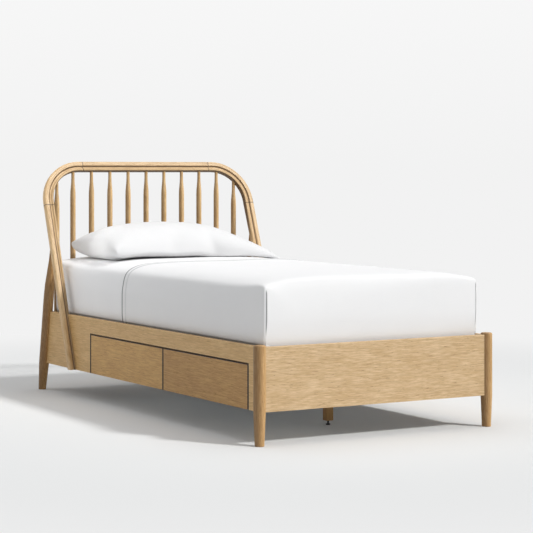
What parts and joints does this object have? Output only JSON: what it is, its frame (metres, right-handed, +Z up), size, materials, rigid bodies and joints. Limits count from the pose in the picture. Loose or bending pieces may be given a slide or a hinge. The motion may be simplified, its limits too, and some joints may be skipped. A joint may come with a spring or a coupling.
{
  "type": "storage bed",
  "caption": "Low oak storage bed with a bent hoop headboard over turned spindles, drawers in the left side rail, mattress, sheets and pillow.",
  "frame": {"origin": "on the floor, at the middle of the bed's overall width and length", "axes": "+X across the bed, away from the drawer side; +Y along the bed from the foot to the headboard; +Z up"},
  "size_m": [1.091, 2.0371, 1.0455],
  "materials": {
    "oak_turned": "clear matte lacquer on light oak, turned",
    "oak_bent": "clear matte lacquer on light oak, grooved section",
    "oak_board": "clear matte lacquer on light oak boards",
    "support_wood": "planed, unfinished softwood",
    "drawer_wood": "sanded birch plywood",
    "runner_steel": "zinc plated",
    "bracket_steel": "satin black powder coat",
    "bolt_steel": "blackened",
    "glide_plastic": "moulded",
    "mattress_ticking": "woven ticking",
    "sheet_cotton": "plain woven white cotton",
    "pillow_cotton": "plain woven white cotton case"
  },
  "bodies": {
    "bed_frame": {"foot_post_left": "oak_turned", "foot_post_right": "oak_turned", "rear_leg_left": "oak_turned", "rear_leg_right": "oak_turned", "spindle_01": "oak_turned", "spindle_02": "oak_turned", "spindle_03": "oak_turned", "spindle_04": "oak_turned", "spindle_05": "oak_turned", "spindle_06": "oak_turned", "spindle_07": "oak_turned", "spindle_08": "oak_turned", "spindle_09": "oak_turned", "spindle_10": "oak_turned", "spindle_11": "oak_turned", "headboard_top_rail": "oak_bent", "headboard_corner_left": "oak_bent", "headboard_corner_right": "oak_bent", "headboard_leg_left": "oak_bent", "headboard_leg_right": "oak_bent", "foot_panel": "oak_board", "side_rail_left": "oak_board", "side_rail_right": "oak_board", "head_rail": "oak_board", "slats": "support_wood", "centre_beam": "support_wood", "slat_cleat_left": "support_wood", "slat_cleat_right": "support_wood", "support_leg_foot": "support_wood", "support_leg_middle": "support_wood", "support_leg_head": "support_wood", "drawer_partition_foot": "support_wood", "drawer_partition_middle": "support_wood", "drawer_partition_head": "support_wood", "foot_drawer_runners_outer": "runner_steel", "head_drawer_runners_outer": "runner_steel", "corner_brackets": "bracket_steel", "bracket_bolts": "bolt_steel"},
    "foot_drawer": {"foot_drawer_front": "oak_board", "foot_drawer_side_foot": "drawer_wood", "foot_drawer_side_head": "drawer_wood", "foot_drawer_back": "drawer_wood", "foot_drawer_floor": "drawer_wood", "foot_drawer_runners_inner": "runner_steel"},
    "head_drawer": {"head_drawer_front": "oak_board", "head_drawer_side_foot": "drawer_wood", "head_drawer_side_head": "drawer_wood", "head_drawer_back": "drawer_wood", "head_drawer_floor": "drawer_wood", "head_drawer_runners_inner": "runner_steel"},
    "foot_runner_middles": {"foot_drawer_runners_middle": "runner_steel"},
    "head_runner_middles": {"head_drawer_runners_middle": "runner_steel"},
    "bed_mattress": {"mattress": "mattress_ticking", "fitted_sheet": "sheet_cotton", "top_sheet": "sheet_cotton"},
    "bed_pillow": {"pillow": "pillow_cotton"},
    "glide_foot": {"levelling_glide_foot": "glide_plastic"},
    "glide_middle": {"levelling_glide_middle": "glide_plastic"},
    "glide_head": {"levelling_glide_head": "glide_plastic"}
  },
  "joints": [
    {"name": "foot_drawer_slide", "type": "slide", "parent": "bed_frame", "child": "foot_drawer", "axis": [-1, 0, 0], "range_m": [0, 0.38]},
    {"name": "head_drawer_slide", "type": "slide", "parent": "bed_frame", "child": "head_drawer", "axis": [-1, 0, 0], "range_m": [0, 0.38]},
    {"name": "foot_runner_slide", "type": "slide", "parent": "bed_frame", "child": "foot_runner_middles", "axis": [-1, 0, 0], "range_m": [0, 0.19]},
    {"name": "head_runner_slide", "type": "slide", "parent": "bed_frame", "child": "head_runner_middles", "axis": [-1, 0, 0], "range_m": [0, 0.19]},
    {"name": "mattress_lift", "type": "slide", "parent": "bed_frame", "child": "bed_mattress", "axis": [0, 0, 1], "range_m": [0, 0.3]},
    {"name": "pillow_lift", "type": "slide", "parent": "bed_mattress", "child": "bed_pillow", "axis": [0, 0, 1], "range_m": [0, 0.3]},
    {"name": "glide_foot_screw", "type": "slide", "parent": "bed_frame", "child": "glide_foot", "axis": [0, 0, 1], "range_m": [0, 0.008]},
    {"name": "glide_middle_screw", "type": "slide", "parent": "bed_frame", "child": "glide_middle", "axis": [0, 0, 1], "range_m": [0, 0.008]},
    {"name": "glide_head_screw", "type": "slide", "parent": "bed_frame", "child": "glide_head", "axis": [0, 0, 1], "range_m": [0, 0.008]}
  ],
  "couplings": [
    {"joint": "foot_runner_slide", "follows": "foot_drawer_slide", "ratio": 0.5},
    {"joint": "head_runner_slide", "follows": "head_drawer_slide", "ratio": 0.5}
  ]
}
